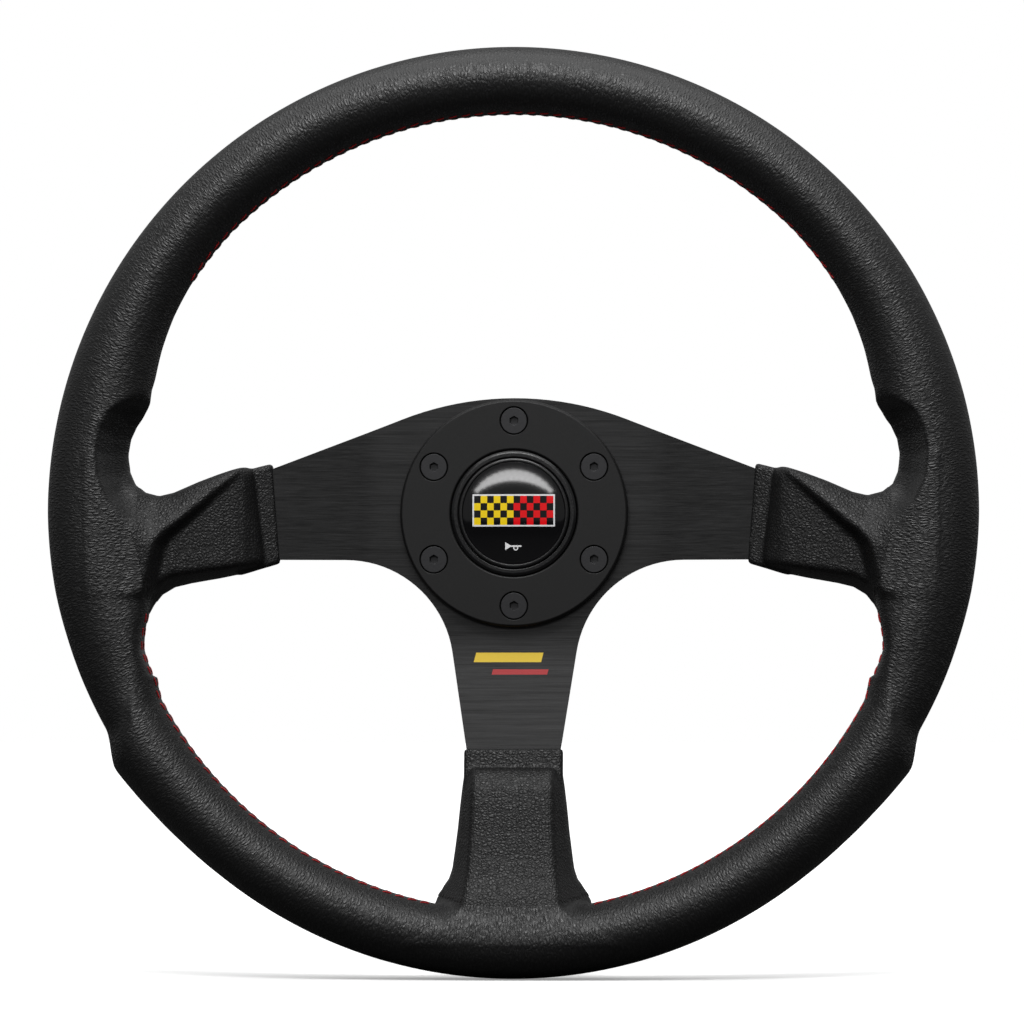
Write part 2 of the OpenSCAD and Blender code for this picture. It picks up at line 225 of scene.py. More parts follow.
def leatherMaterial(name, grain):
    look, cell = leatherLook, grain["cell"]
    mat = newMaterial(name, look["colour"], look["rough"], spec=grain["spec"])
    s = Shading(mat)
    flat = s.vector("MULTIPLY", s.objectCoords, (1, 0, 1))
    ring = s.vector("SCALE", s.vector("NORMALIZE", flat), scale=look["ringRadius"])
    # pulling each point towards the ring's centre line stretches the grain round the section
    away = s.vector("SUBTRACT", s.objectCoords, ring)
    drawn = s.vector("ADD", ring, s.vector("SCALE", away, scale=1 - grain["stretch"]))
    wobble = s.node("ShaderNodeTexNoise")
    s.feed(wobble.inputs["Vector"], s.objectCoords)
    wobble.inputs["Scale"].default_value = look["wobbleScale"]
    shift = s.vector("SUBTRACT", wobble.outputs["Color"], (0.5, 0.5, 0.5))
    shift = s.vector("SCALE", shift, scale=look["wobble"])
    coords = s.vector("ADD", drawn, shift)
    edge = s.cells(coords, cell, "DISTANCE_TO_EDGE")
    pebble = s.spread(edge, 0.0, 0.34, 0.0, 1.0)
    fine = s.noise(coords, cell * 3.2, 3.0, 0.6)
    broad = s.noise(drawn, cell * 0.28, 2.0, 0.5)
    height = s.math("ADD", s.math("MULTIPLY", pebble, 0.95),
                    s.math("ADD", s.math("MULTIPLY", fine, 0.14), s.math("MULTIPLY", broad, 0.7)))
    s.bump(height, grain["depth"])
    cloud = s.noise(s.objectCoords, 60, 3.0, 0.6)
    rough = s.math("ADD", s.math("MULTIPLY", cloud, 0.10), s.math("MULTIPLY", pebble, -0.12))
    s.feed(s.shader.inputs["Roughness"], s.math("ADD", rough, look["rough"] + 0.01))
    # the grain's valleys are painted darker: painted shade in its creases, on top of the bump's own shading
    s.feed(s.shader.inputs["Base Color"], s.mix(pebble, (*look["shadedValley"], 1), (*look["colour"], 1)))
    return mat


rimLeatherMat = leatherMaterial("black grained leather", leatherLook["rim"])
padLeatherMat = leatherMaterial("black heavy grained leather", leatherLook["pad"])


def foamMaterial():
    mat = newMaterial("moulded foam", (0.03, 0.03, 0.03), 0.85, spec=0.2)
    s = Shading(mat)
    s.bump(s.cells(s.objectCoords, 700), 0.0003)
    return mat


def threadMaterial():
    mat = newMaterial("waxed red thread", (0.42, 0.012, 0.016), 0.6, spec=0.3)
    s = Shading(mat)
    twist = s.node("ShaderNodeTexWave", wave_type="BANDS", bands_direction="DIAGONAL")
    s.feed(twist.inputs["Vector"], s.objectCoords)
    twist.inputs["Scale"].default_value = 900
    s.bump(twist.outputs["Fac"], 0.00008)
    worn = s.noise(s.objectCoords, 300)
    s.feed(s.shader.inputs["Base Color"], s.mix(worn, (0.30, 0.008, 0.012, 1), (0.55, 0.018, 0.02, 1)))
    return mat


foamMat = foamMaterial()
threadMat = threadMaterial()
print("leather, foam and thread finishes made")

# The leather's shape is a distance field in millimetres, negative inside, and the same on both sides.
rim = {
    "plane": 67.5, "halfDepth": 15.5,
    # angle clockwise from twelve o'clock against the grip's inner and outer radius
    "angle": [0, 45, 55, 60, 65, 70, 76, 80, 106, 109, 112, 115, 118, 180],
    "inner": [149.6, 149.5, 148.4, 147.3, 145.6, 143.4, 140.6, 139.5, 139.5, 141, 144.2, 147.6, 149.6, 149.6],
    "outerAngle": [0, 90, 100, 106, 111, 115, 118, 180],
    "outer": [175, 175, 174.6, 174.0, 173.7, 173.4, 173.2, 173.2],
    # where the lower grip's raised lip crosses the rim: radius against angle
    "lipRadius": [146, 149.8, 152, 156, 158.1, 163.4, 171, 178.5],
    "lipAngle": [104.5, 108, 110.9, 114.8, 116.2, 119.0, 120.2, 120.8],
    "lipOuterAngle": [0, 119, 122.5, 126, 130, 135, 141, 150, 180],
    "lipOuter": [177.2, 177.2, 178.0, 177.1, 176.2, 175.5, 175.1, 175, 175],
    # how far the lip's step spreads at each radius
    "softRadius": [150, 160, 171, 177], "soft": [1.8, 2.6, 6.5, 8.5],
    # the grip is a little thinner above the lip and thicker below it: amount, angle and spread
    "waist": (0.9, 115, 8), "swell": (0.8, 121, 9),
    # the sewn seam round the inside, and the radii over which it fades
    "seamDepth": 0.55, "seamWidth": 0.55, "seamFrom": 155, "seamFull": 151,
}
sidePad = {
    "plateSlope": 0.1989, "plateFrom": 51, "plateLevel": 46,
    "at": [94, 98.5, 101, 104, 110, 118, 126, 131, 140, 160],
    "face": [61, 63.5, 65.4, 66.6, 67.9, 69.0, 70.4, 71.0, 71.6, 73],
    "backAt": [94, 98, 103, 112, 134, 157],
    "back": [53.2, 52.4, 50.6, 50.4, 53.2, 55.5],
    # height of the ridge over the recessed face, and how far its wall spreads
    "riseAt": [96, 104, 112, 120, 128, 134, 140], "rise": [1.0, 2.0, 3.3, 4.9, 6.9, 7.9, 8.4],
    "wallAt": [96, 112, 128, 140], "wall": [2.6, 3.4, 5.0, 6.2],
    # the hub end leans outwards, and the lower flank falls away below this line
    "hubEnd": 96.0, "hubLean": 0.14, "flankAt": [96, 128, 140], "flank": [-19.0, -23.4, -31],
    "top": 21, "rimEnd": 158,
    # everything on the rim's side of the ridge, which runs from the upper hub corner into the rim
    "aboveRidge": [(94, 24.4), (103.3, 16.6), (110, 10.4), (118, 3.4), (126, -2.8), (131, -6.6),
                   (134.2, -11), (136.2, -18), (138, -27), (140, -60), (170, -60), (170, 60), (94, 60)],
    # outline of the thumb hole above the spoke, and of the window below it
    "thumbHole": [(134.3, 45.5), (134.9, 40.7), (138, 36.5), (142.0, 32.3), (144.4, 27.6), (145.4, 22),
                  (144.8, 15.4), (142.8, 10.7), (139, 7.6), (133.3, 6.1), (127.7, 7.4), (118, 11.6),
                  (110.5, 14.4), (103, 16.9), (98.5, 18.0), (60, 30), (60, 70), (112, 70)],
    "lowerWindow": [(70, -20), (93, -20.6), (99, -22.3), (110.5, -24.6), (122, -26.7), (128, -28.3),
                    (132.5, -31), (135.6, -35.2), (137.4, -39.5), (138.8, -45), (139.2, -51),
                    (137.8, -55.7), (135.4, -60.3), (132.2, -65), (126, -72), (100, -102), (60, -80)],
    "holeRound": 4.5, "thumbRound": 3.4, "blend": 3.0,
}


def polygonDistance(x, y, points):  # negative inside
    px = np.array(points, float)
    nxt = np.roll(px, -1, 0)
    best = np.full(x.shape, 1e9)
    inside = np.zeros(x.shape, bool)
    for (ax, ay), (bx, by) in zip(px, nxt):
        ex, ey = bx - ax, by - ay
        t = np.clip(((x - ax) * ex + (y - ay) * ey) / (ex * ex + ey * ey), 0, 1)
        best = np.minimum(best, np.hypot(x - ax - t * ex, y - ay - t * ey))
        crosses = ((ay > y) != (by > y)) & (x < (bx - ax) * (y - ay) / (by - ay + 1e-12) + ax)
        inside ^= crosses
    return np.where(inside, -best, best)


def ovalDistance(u, v, a, b):
    k = np.sqrt((u / a) ** 2 + (v / b) ** 2) + 1e-9
    return k * (k - 1) / (np.sqrt((u / a ** 2) ** 2 + (v / b ** 2) ** 2) + 1e-9)


def hump(v, size, middle, spread):
    return size * np.exp(-((v - middle) / spread) ** 2)


def rimField(x, y, z):
    r = np.hypot(x, y)
    angle = np.degrees(np.arctan2(x, y))
    lip = np.interp(r, rim["lipRadius"], rim["lipAngle"])
    soft = np.interp(r, rim["softRadius"], rim["soft"])
    low = smoothstep(-soft, soft, (angle - lip) * math.radians(1) * r)
    inner = np.interp(angle, rim["angle"], rim["inner"])
    outer = np.interp(angle, rim["outerAngle"], rim["outer"])
    outer = outer * (1 - low) + low * np.interp(angle, rim["lipOuterAngle"], rim["lipOuter"])
    waist = hump(angle, *rim["waist"]) * (1 - low)
    swell = hump(angle, *rim["swell"]) * low
    f = ovalDistance(r - (inner + outer) / 2, z - rim["plane"], (outer - inner) / 2,
                     rim["halfDepth"] - waist + swell)
    seam = hump(z, rim["seamDepth"], rim["plane"], rim["seamWidth"])
    return f + seam * smoothstep(rim["seamFrom"], rim["seamFull"], r)


def plateZ(u):  # middle of the metal arm at a distance from the wheel's axis
    return sidePad["plateLevel"] + sidePad["plateSlope"] * (u - sidePad["plateFrom"])


def sideField(x, y, z):
    # x is the distance from the middle, the same on both sides
    face = np.interp(x, sidePad["at"], sidePad["face"])
    ridge = -polygonDistance(x, y, sidePad["aboveRidge"])
    wall = np.interp(x, sidePad["wallAt"], sidePad["wall"])
    face = face + np.interp(x, sidePad["riseAt"], sidePad["rise"]) * smoothstep(-wall, 0.6, ridge)
    shoulder = sidePad["hubEnd"] + sidePad["hubLean"] * (y + 1) - x
    f = smoothMax((z - face) * 0.8, np.interp(x, sidePad["backAt"], sidePad["back"]) - z, 5)
    f = smoothMax(f, shoulder, 5)
    flank = (z - face - 2.2 * (y - np.interp(x, sidePad["flankAt"], sidePad["flank"]))) * 0.42
    f = smoothMax(f, flank, 1.8)
    f = smoothMax(f, y - sidePad["top"], 2)
    return np.maximum(f, x - sidePad["rimEnd"])


hem = {
    # the flat strip on the metal at each cover's hub end: its ends, and its edges that fall away outwards
    "sideEnd": 90.0, "lean": 0.078, "bottomEnd": 89.2, "rimEnd": 104, "halfThick": 3.0,
    "top": 18.7, "topFall": 0.26, "topFrom": 91, "low": -19.0, "lowFall": 0.3, "lowFrom": 89,
    "bottomHalfWidth": 18.5, "blend": 0.8,
}


def hemField(x, y, z):
    end = hem["sideEnd"] + hem["lean"] * y - x
    band = np.abs(z - plateZ(x)) - hem["halfThick"]
    edge = np.maximum(y - (hem["top"] - hem["topFall"] * (x - hem["topFrom"])),
                      hem["low"] - hem["lowFall"] * (x - hem["lowFrom"]) - y)
    return smoothMax(smoothMax(np.maximum(end, x - hem["rimEnd"]), band, 0.8), edge, 1.6)


bottomPad = {
    "at": [94, 98, 101, 104, 110, 120, 130, 137, 143, 149, 153, 158, 162],
    "face": [60.5, 62.8, 64.9, 66.3, 67.8, 69.8, 72.2, 74.4, 76.9, 79.0, 80.2, 81.0, 81.2],
    "halfWidthAt": [88, 96, 100, 104, 111, 119, 126, 134, 138, 142, 150],
    "halfWidth": [18.1, 18.3, 18.8, 19.3, 20.1, 20.9, 21.8, 22.9, 24.3, 28.0, 40],
    "flatAt": [98, 104, 120, 134, 142, 148, 154, 162], "flat": [14.6, 15.0, 15.4, 16.2, 17.2, 18.6, 24, 40],
    "hubEnd": 96.2, "rimEnd": 160, "blend": 3.5,
}


def bottomField(x, y, z):
    u = -y
    pad = bottomPad
    face = np.interp(u, pad["at"], pad["face"])
    side = (x - np.interp(u, pad["halfWidthAt"], pad["halfWidth"])) * np.interp(u, [136, 142], [0.97, 0.8])
    f = smoothMax(z - face, np.interp(u, sidePad["backAt"], sidePad["back"]) - z, 5)
    f = smoothMax(f, pad["hubEnd"] - u, 4)
    f = smoothMax(f, side, 4)
    flank = (z - face + 2.0 * (x - np.interp(u, pad["flatAt"], pad["flat"]))) * 0.45
    f = smoothMax(f, flank, 1.8)
    return np.maximum(f, u - pad["rimEnd"])


def bottomHem(x, y, z):
    u = -y
    end = np.maximum(hem["bottomEnd"] - u, u - hem["rimEnd"])
    band = np.abs(z - plateZ(u)) - hem["halfThick"]
    return smoothMax(smoothMax(end, band, 0.8), x - hem["bottomHalfWidth"], 1.4)


thumb = {
    # the thumb rest climbs away from the hole's edge: a facet on the spoke, a cove in the rim
    "middleX": 131, "middleY": 22, "facet": (1.2, 0.64, 0.006), "cove": (-3.0, 0.5, 10.5, 8.8),
    # it runs out above this height and nearer to the hub than this
    "topFrom": 37.5, "topSlope": 1.6, "hubFrom": 106,
}


def thumbCut(x, y, z, d):
    height = z - rim["plane"]
    turn = np.degrees(np.arctan2(y - thumb["middleY"], x - thumb["middleX"]))
    start, slope, curve = thumb["facet"]
    facet = start + slope * d + curve * d * d
    start, slope, depth, reach = thumb["cove"]
    cove = start + slope * d + depth * np.clip(d / reach, 0, 1.6) ** 3
    onRim = smoothstep(-80, -28, turn)
    onRim = np.where(turn < -150, 0, np.where(turn > 120, 1 - smoothstep(120, 175, turn), onRim))
    level = facet * (1 - onRim) + cove * onRim + thumb["topSlope"] * np.clip(y - thumb["topFrom"], 0, None)
    level = level + np.clip(thumb["hubFrom"] - x, 0, None)
    return (height - level) * (0.75 - 0.13 * onRim)


def leatherField(p):
    x, y, z = np.abs(p[:, 0]), p[:, 1], p[:, 2]
    f = rimField(x, y, z)
    # the spokes' shapes are worked out only near the spokes
    near = (x > 84) & (np.abs(y) < 62)
    xn, yn, zn = x[near], y[near], z[near]
    g = smoothMin(f[near], sideField(xn, yn, zn), sidePad["blend"])
    hole = polygonDistance(xn, yn, sidePad["thumbHole"])
    g = smoothMax(g, -hole, sidePad["holeRound"])
    g = smoothMax(g, thumbCut(xn, yn, zn, np.clip(hole, 0, None)), sidePad["thumbRound"])
    g = smoothMax(g, -polygonDistance(xn, yn, sidePad["lowerWindow"]), sidePad["holeRound"])
    f[near] = smoothMin(g, hemField(xn, yn, zn), hem["blend"])
    low = (x < 60) & (y < -84)
    xl, yl, zl = x[low], y[low], z[low]
    g = smoothMin(f[low], bottomField(xl, yl, zl), bottomPad["blend"])
    f[low] = smoothMin(g, bottomHem(xl, yl, zl), hem["blend"])
    return f


seams = {
    "under": 2.2, "proud": 0.14,   # the rim's leather runs under the spoke covers
    "sideY": [-58, -42, -37, -33, -27, -13, -8, 5, 9, 14, 24],
    "side": [100, 112, 131, 136.4, 137.6, 140.6, 142.2, 142.2, 141.6, 136, 110],
    "bottomX": [0, 17, 24, 30, 36, 44, 60], "bottom": [147.4, 146.7, 145.6, 143.8, 141.0, 134, 120],
    "bottomTop": -80, "apart": 9.0,   # past its ends a seam is taken as this far away
}


def sideSeam(p):  # negative on the spoke's side of the seam
    x, y = np.abs(p[:, 0]), p[:, 1]
    line = np.interp(y, seams["sideY"], seams["side"])
    beside = (y > seams["sideY"][0]) & (y < seams["sideY"][-1])
    return np.where(beside, x - line, seams["apart"])


def bottomSeam(p):
    x, y = np.abs(p[:, 0]), p[:, 1]
    line = np.interp(x, seams["bottomX"], seams["bottom"])
    beside = (y < seams["bottomTop"]) & (x < seams["bottomX"][-1])
    return np.where(beside, -y - line, seams["apart"])


def sidePiece(sign):
    def field(p):
        cover = np.maximum(leatherField(p) - seams["proud"], sideSeam(p))
        return np.maximum(cover, 60 - sign * p[:, 0])
    return field


def rimPiece(p):
    f = np.maximum(leatherField(p), -sideSeam(p) - seams["under"])
    return np.maximum(f, -bottomSeam(p) - seams["under"])


def bottomPiece(p):
    return np.maximum(leatherField(p) - seams["proud"], bottomSeam(p))


def slopeOf(field, p, h=0.05):
    g = np.empty_like(p)
    for k in range(3):
        step = np.zeros(3)
        step[k] = h
        g[:, k] = (field(p + step) - field(p - step)) / (2 * h)
    return g


def settle(field, p, rounds, limit):  # moves points onto the surface, never further than the limit at once
    for _ in range(rounds):
        g = slopeOf(field, p)
        f = field(p)
        move = g * (f / (np.sum(g * g, 1) + 1e-6))[:, None]
        size = np.linalg.norm(move, axis=1)
        p = p - move * np.minimum(1, limit / (size + 1e-9))[:, None]
    return p


def toCrease(p, a, b, reach):
    # points close to where two surfaces meet are moved onto the line between them
    near = (np.abs(a(p)) < reach) & (np.abs(b(p)) < reach)
    q = p[near]
    for _ in range(4):
        ga, gb, fa, fb = slopeOf(a, q), slopeOf(b, q), a(q), b(q)
        aa, ab, bb = np.sum(ga * ga, 1), np.sum(ga * gb, 1), np.sum(gb * gb, 1)
        det = aa * bb - ab * ab + 1e-6
        u, v = (fa * bb - fb * ab) / det, (fb * aa - fa * ab) / det
        move = ga * u[:, None] + gb * v[:, None]
        size = np.linalg.norm(move, axis=1)
        q = q - move * np.minimum(1, 0.5 * reach / (size + 1e-9))[:, None]
    p[near] = q
    return p


def skin(name, field, low, high, step, seam=None):
    # one vertex in every grid cell that the surface passes, moved onto it,
    # and a face across every grid edge that the surface crosses
    axes = [np.arange(a, b + step, step) for a, b in zip(low, high)]
    shape = tuple(len(a) for a in axes)
    grid = np.stack(np.meshgrid(*axes, indexing="ij"), -1).reshape(-1, 3)
    inside = (field(grid) < 0).reshape(shape)
    count = sum(inside[i:shape[0] - 1 + i, j:shape[1] - 1 + j, k:shape[2] - 1 + k].astype(np.int8)
                for i in (0, 1) for j in (0, 1) for k in (0, 1))
    crossed = (count > 0) & (count < 8)
    number = np.full(crossed.shape, -1)
    number[crossed] = np.arange(crossed.sum())
    cell = np.argwhere(crossed)
    points = np.array(low) + (cell + 0.5) * step
    quads = []
    for axis in range(3):
        b, c = (axis + 1) % 3, (axis + 2) % 3
        first = np.take(inside, range(shape[axis] - 1), axis)
        second = np.take(inside, range(1, shape[axis]), axis)
        for leaving in (True, False):
            at = np.argwhere((first & ~second) if leaving else (~first & second))
            around = []
            for db, dc in ((1, 1), (0, 1), (0, 0), (1, 0)):
                where = at.copy()
                where[:, b] -= db
                where[:, c] -= dc
                around.append(number[where[:, 0], where[:, 1], where[:, 2]])
            quad = np.stack(around, 1)
            quads.append(quad if leaving else quad[:, ::-1])
    quads = np.concatenate(quads)
    points = settle(field, points, 3, step)
    pairs = np.concatenate([quads[:, [0, 1]], quads[:, [1, 2]], quads[:, [2, 3]], quads[:, [3, 0]]])
    for _ in range(3):  # even the faces out, then back onto the surface
        total = np.zeros_like(points)
        met = np.zeros(len(points))
        for a, b in ((0, 1), (1, 0)):
            for k in range(3):
                total[:, k] += np.bincount(pairs[:, a], points[pairs[:, b], k], len(points))
            met += np.bincount(pairs[:, a], minlength=len(points))
        points = points + 0.5 * (total / met[:, None] - points)
        points = settle(field, points, 1, step / 2)
    if seam:
        points = toCrease(points, lambda p: leatherField(p) - seams["proud"], seam, 0.55 * step)
    piece = meshPiece(name, toScene(points).tolist(), quads.tolist())
    bpy.ops.object.shade_smooth_by_angle(angle=math.radians(55))
    print("skinned", name, len(quads), "faces")
    return piece


wraps = {
    # each box is the smallest that holds the piece, and each step is the size of its faces
    "rimBox": ((-181, -178, 48), (181, 178, 87)), "rimStep": 1.25, "rimFill": 1.0,
    "sideX": (84.0, 146.5), "sideY": (-46, 26), "bottomBox": ((-40, -151, 46), (40, -86, 86)),
    "coverZ": (46, 86), "coverStep": 1.0, "coverFill": 0.9,
    "foamBox": ((-180, -178, 48), (180, 178, 87)), "foamStep": 2.6, "leatherThick": 1.5,
}
rimLeather = skin("rim_leather_wrap", rimPiece, *wraps["rimBox"], wraps["rimStep"])
dress(rimLeather, rimLeatherMat, replaced=["rim_leather"])
for side, sign in (("left", -1), ("right", 1)):
    xRange = sorted(sign * x for x in wraps["sideX"])
    low, high = zip(xRange, wraps["sideY"], wraps["coverZ"])
    cover = skin(side + "_spoke_wrap", sidePiece(sign), low, high, wraps["coverStep"], sideSeam)
    dress(cover, padLeatherMat, replaced=[side + "_spoke_cover"])
bottomCover = skin("bottom_spoke_wrap", bottomPiece, *wraps["bottomBox"], wraps["coverStep"], bottomSeam)
dress(bottomCover, padLeatherMat, replaced=["bottom_spoke_cover"])
foam = skin("rim_foam_core", lambda p: leatherField(p) + wraps["leatherThick"], *wraps["foamBox"],
            wraps["foamStep"])
dress(foam, foamMat, replaced=["rim_foam"])
print("leather and foam made")

printedBars = {  # on the front of the bottom arm: left, right, bottom and top in metres
    "yellow": (-0.0150, 0.0105, -0.0563, -0.0527), "red": (-0.0070, 0.0140, -0.0610, -0.0590),
    "slant": 0.25, "slantFrom": 0.055, "front": -0.0470,
}


def brushedMaterial():
    mat = newMaterial("black brushed aluminium", (0.03, 0.03, 0.03), 0.42, metal=0.7, spec=0.5)
    s = Shading(mat)
    lines = s.noise(s.vector("MULTIPLY", s.objectCoords, (55, 600, 3000)), 1.0, 4.0, 0.65)
    broad = s.noise(s.vector("MULTIPLY", s.objectCoords, (16, 200, 900)), 1.0, 3.0, 0.6)
    cloud = s.noise(s.objectCoords, 35, 2.0)
    both = s.math("ADD", s.math("MULTIPLY", lines, 0.6), s.math("MULTIPLY", broad, 0.4))
    s.bump(both, 0.00005)
    rough = s.math("ADD", s.math("MULTIPLY", lines, 0.22), s.math("MULTIPLY", cloud, 0.08))
    s.feed(s.shader.inputs["Roughness"], s.math("ADD", rough, 0.27))
    metal = s.mix(s.spread(both, 0.35, 0.65, 0, 1), (0.013, 0.013, 0.0132, 1), (0.036, 0.036, 0.0365, 1))
    x, y, z = s.axes(s.objectCoords)
    front = s.math("LESS_THAN", y, printedBars["front"])
    lean = s.math("MULTIPLY", s.math("ADD", z, printedBars["slantFrom"]), printedBars["slant"])
    slanted = s.math("SUBTRACT", x, lean)

    def bar(left, right, bottom, top):
        across = s.math("MULTIPLY", s.math("GREATER_THAN", slanted, left), s.math("LESS_THAN", slanted, right))
        up = s.math("MULTIPLY", s.math("GREATER_THAN", z, bottom), s.math("LESS_THAN", z, top))
        return s.math("MULTIPLY", s.math("MULTIPLY", across, up), front)

    yellow, red = bar(*printedBars["yellow"]), bar(*printedBars["red"])
    shown = s.mix(yellow, metal, (0.80, 0.55, 0.02, 1))
    shown = s.mix(red, shown, (0.42, 0.008, 0.012, 1))
    s.feed(s.shader.inputs["Base Color"], shown)
    printed = s.math("MAXIMUM", yellow, red)
    s.feed(s.shader.inputs["Metallic"], s.spread(printed, 0, 1, 0.7, 0))
    return mat


def blackAnodised(name, colour, rough, grainScale=2600):
    mat = newMaterial(name, colour, rough, metal=0.6)
    s = Shading(mat)
    grain = s.noise(s.objectCoords, grainScale, 2.0)
    s.bump(grain, 0.00002)
    s.feed(s.shader.inputs["Roughness"], s.spread(grain, 0.3, 0.7, rough - 0.07, rough + 0.09))
    return mat


def turnedMaterial(name, colour, rough, metal=1.0):
    # lathe marks run round the axis
    mat = newMaterial(name, colour, rough, metal=metal)
    s = Shading(mat)
    y = s.axes(s.objectCoords)[1]
    radius = s.vector("LENGTH", s.vector("MULTIPLY", s.objectCoords, (1, 0, 1)))
    made = s.node("ShaderNodeCombineXYZ")
    s.feed(made.inputs[0], s.math("MULTIPLY", radius, 3000))
    s.feed(made.inputs[1], s.math("MULTIPLY", y, 3000))
    lines = s.noise(made.outputs[0], 1.0, 3.0, 0.6)
    smudge = s.noise(s.objectCoords, 90, 3.0)
    s.bump(lines, 0.00002)
    mixed = s.math("ADD", s.math("MULTIPLY", lines, 0.14), s.math("MULTIPLY", smudge, 0.12))
    s.feed(s.shader.inputs["Roughness"], s.math("ADD", mixed, rough - 0.12))
    return mat


def plasticMaterial(name, colour, rough):
    mat = newMaterial(name, colour, rough)
    s = Shading(mat)
    grain = s.noise(s.objectCoords, 1800, 3.0, 0.6)
    s.bump(grain, 0.00002)
    s.feed(s.shader.inputs["Roughness"], s.spread(grain, 0.3, 0.7, rough - 0.05, rough + 0.08))
    return mat


def plainMetal(name, colour, rough):
    mat = newMaterial(name, colour, rough, metal=1.0)
    s = Shading(mat)
    spots = s.noise(s.objectCoords, 700, 4.0, 0.6)
    s.bump(spots, 0.00001)
    s.feed(s.shader.inputs["Roughness"], s.spread(spots, 0.3, 0.7, rough - 0.05, rough + 0.1))
    return mat


badge = {
    # the dome, in millimetres
    "radius": 19.35, "back": 52.3, "edge": 0.7, "rise": 1.4, "round": 0.15, "rings": 20, "turns": 96,
    # its print, in metres: the chequered strip with a border round it, and the horn sign
    "stripLeft": -0.0150, "stripRight": 0.0150, "stripBottom": -0.0045, "stripTop": 0.0065,
    "cell": 0.0025, "rows": 4, "border": 0.0006, "hornY": -0.0125, "front": -0.0529,
    "black": (0.004, 0.004, 0.0045, 1), "borderWhite": (0.80, 0.80, 0.81, 1), "hornWhite": (0.90, 0.90, 0.91, 1),
    "yellow": (0.95, 0.67, 0.01, 1), "red": (0.80, 0.006, 0.01, 1),
}


def badgeMaterial():
    # a chequered strip, yellow on the left and red on the right, and a small horn sign under it
    mat = newMaterial("domed resin badge", (0.003, 0.003, 0.003), 0.3, spec=0.0, coat=1.0, coatRough=0.065)
    s = Shading(mat)
    x, y, z = s.axes(s.objectCoords)

    def within(v, low, high):
        return s.math("MULTIPLY", s.math("GREATER_THAN", v, low), s.math("LESS_THAN", v, high))

    def box(left, right, bottom, top):
        return s.math("MULTIPLY", within(x, left, right), within(z, bottom, top))

    front = s.math("LESS_THAN", y, badge["front"])
    left, right, bottom, top = (badge[k] for k in ("stripLeft", "stripRight", "stripBottom", "stripTop"))
    border = badge["border"]
    framed = box(left - border, right + border, bottom - border, top + border)
    strip = box(left, right, bottom, top)
    column = s.math("FLOOR", s.math("DIVIDE", s.math("SUBTRACT", x, left), badge["cell"]))
    row = s.math("FLOOR", s.math("DIVIDE", s.math("SUBTRACT", z, bottom), (top - bottom) / badge["rows"]))
    odd = s.math("MODULO", s.math("ADD", column, row), 2.0)
    sheet = s.mix(s.math("GREATER_THAN", x, 0.0), badge["yellow"], badge["red"])
    chequer = s.mix(odd, sheet, badge["black"])
    shown = s.mix(s.math("MULTIPLY", framed, front), badge["black"], badge["borderWhite"])
    shown = s.mix(s.math("MULTIPLY", strip, front), shown, chequer)
    # horn sign: a bell that narrows to the right, a tube and a looped handle
    offLine = s.math("ABSOLUTE", s.math("SUBTRACT", z, badge["hornY"]))
    bellWidth = s.spread(x, -0.0032, -0.0012, 0.0015, 0.0003)
    bell = s.math("MULTIPLY", within(x, -0.0032, -0.0012), s.math("LESS_THAN", offLine, bellWidth))
    tube = s.math("MULTIPLY", within(x, -0.0013, 0.0030), s.math("LESS_THAN", offLine, 0.00028))
    low = s.math("SUBTRACT", z, badge["hornY"] - 0.0007)
    aside = s.math("SUBTRACT", x, 0.0008)
    fromLoop = s.math("SQRT", s.math("ADD", s.math("POWER", aside, 2.0), s.math("POWER", low, 2.0)))
    loop = within(fromLoop, 0.00055, 0.00095)
    horn = s.math("MAXIMUM", bell, s.math("MAXIMUM", tube, loop))
    shown = s.mix(s.math("MULTIPLY", horn, front), shown, badge["hornWhite"])
    s.feed(s.shader.inputs["Base Color"], shown)
    swirl = s.noise(s.objectCoords, 120, 2.0)
    s.feed(s.shader.inputs["Roughness"], s.spread(swirl, 0.3, 0.7, 0.14, 0.24))
    return mat


brushedMat = brushedMaterial()
trimMat = blackAnodised("matte black anodised ring", (0.016, 0.016, 0.0162), 0.45)
screwMat = blackAnodised("black oxide screws", (0.03, 0.03, 0.032), 0.38, 1500)
gripBlackMat = turnedMaterial("turned black anodised hub", (0.03, 0.03, 0.033), 0.42, 0.7)
collarMat = turnedMaterial("turned clear anodised collar", (0.55, 0.56, 0.58), 0.34)
steelMat = turnedMaterial("machined steel", (0.42, 0.43, 0.45), 0.34)
rodMat = plainMetal("hoop steel", (0.35, 0.36, 0.37), 0.4)
ballMat = plainMetal("polished bearing steel", (0.7, 0.71, 0.73), 0.14)
springMat = plainMetal("spring steel", (0.55, 0.56, 0.58), 0.3)
brassMat = plainMetal("contact brass", (0.72, 0.50, 0.20), 0.3)
buttonMat = plasticMaterial("moulded black plastic", (0.008, 0.008, 0.0085), 0.38)
capMat = plasticMaterial("glossy black plastic", (0.005, 0.005, 0.0055), 0.2)
redLeadMat = plasticMaterial("red lead insulation", (0.35, 0.015, 0.015), 0.45)
blackLeadMat = plasticMaterial("black lead insulation", (0.012, 0.012, 0.012), 0.45)
badgeMat = badgeMaterial()
print("metal and plastic finishes made")


def machined(node, name, mat, body="wheel", edge=0.25, rounds=2):
    # the CAD solid with its edges broken
    piece = copyOf(node, name, flatWithin=0.6)
    bevel = piece.modifiers.new("edges", "BEVEL")
    bevel.width = edge * mm
    bevel.segments = rounds
    bevel.limit_method = "ANGLE"
    bevel.angle_limit = math.radians(32)
    bevel.use_clamp_overlap = True
    applyMods(piece)
    bpy.ops.object.shade_smooth_by_angle(angle=math.radians(40))
    even = piece.modifiers.new("even shading", "WEIGHTED_NORMAL")
    even.keep_sharp = True
    even.weight = 100
    applyMods(piece)
    dress(piece, mat, body, [node])


